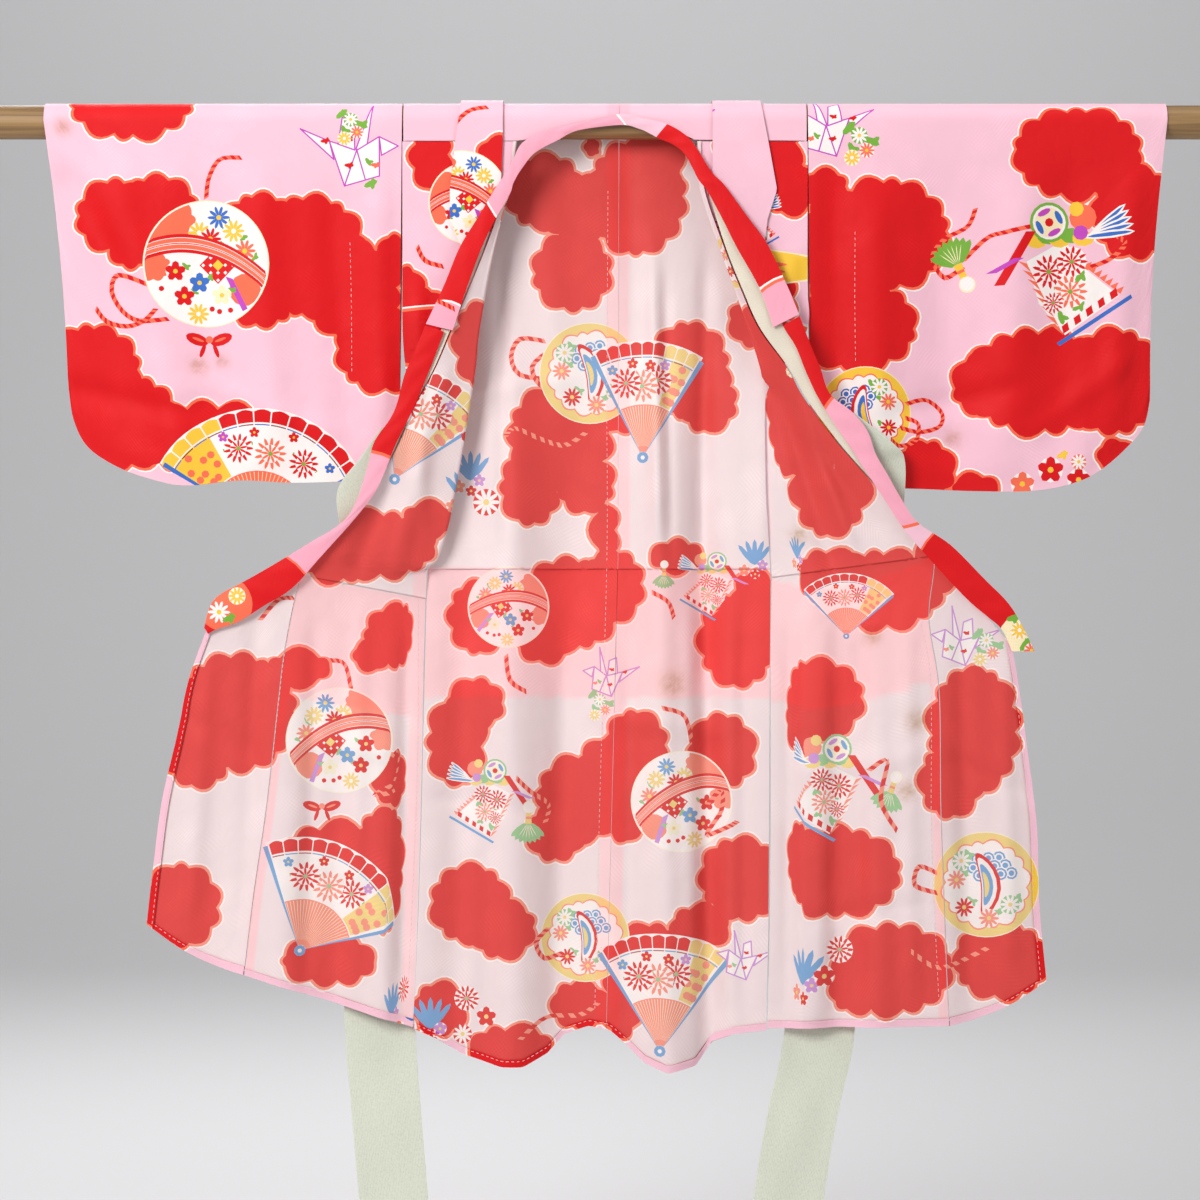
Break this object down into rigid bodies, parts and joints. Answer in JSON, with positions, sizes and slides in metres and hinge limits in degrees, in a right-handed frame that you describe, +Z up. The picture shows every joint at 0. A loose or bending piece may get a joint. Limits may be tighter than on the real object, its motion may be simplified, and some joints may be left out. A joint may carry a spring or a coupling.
{
  "type": "child kimono hung on a wooden rod",
  "caption": "Unlined child kimono with tucks and belt strings, hung on a wooden rod through both sleeves with its fronts folded open.",
  "frame": {"origin": "middle of the wooden rod that holds the garment, on the rod's axis", "axes": "+Z up, +X along the rod to the viewer's right, the garment's front faces -Y"},
  "size_m": [1.27, 0.0621, 1.121],
  "materials": {
    "rod_wood": "sanded, waxed",
    "printed_silk": "printed figured silk, right side",
    "silk_reverse": "printed figured silk, pale reverse",
    "collar_silk": "printed figured silk, right side, doubled",
    "cream_crepe": "plain crepe",
    "belt_silk": "plain figured silk, doubled"
  },
  "bodies": {
    "root": {"rod": "rod_wood", "sleeve_left": "printed_silk", "sleeve_right": "printed_silk", "back_left": "silk_reverse", "back_right": "silk_reverse", "front_left": "silk_reverse", "front_right": "silk_reverse", "overlap_left": "silk_reverse", "overlap_right": "silk_reverse", "waist_tuck_front_left": "printed_silk", "waist_tuck_front_right": "printed_silk", "waist_tuck_back_left": "printed_silk", "waist_tuck_back_right": "printed_silk", "shoulder_tuck_left": "printed_silk", "shoulder_tuck_right": "printed_silk", "over_collar": "collar_silk", "collar_left": "collar_silk", "collar_right": "collar_silk", "collar_lining_left": "cream_crepe", "collar_lining_right": "cream_crepe", "belt_left": "belt_silk", "belt_right": "belt_silk"}
  },
  "joints": []
}
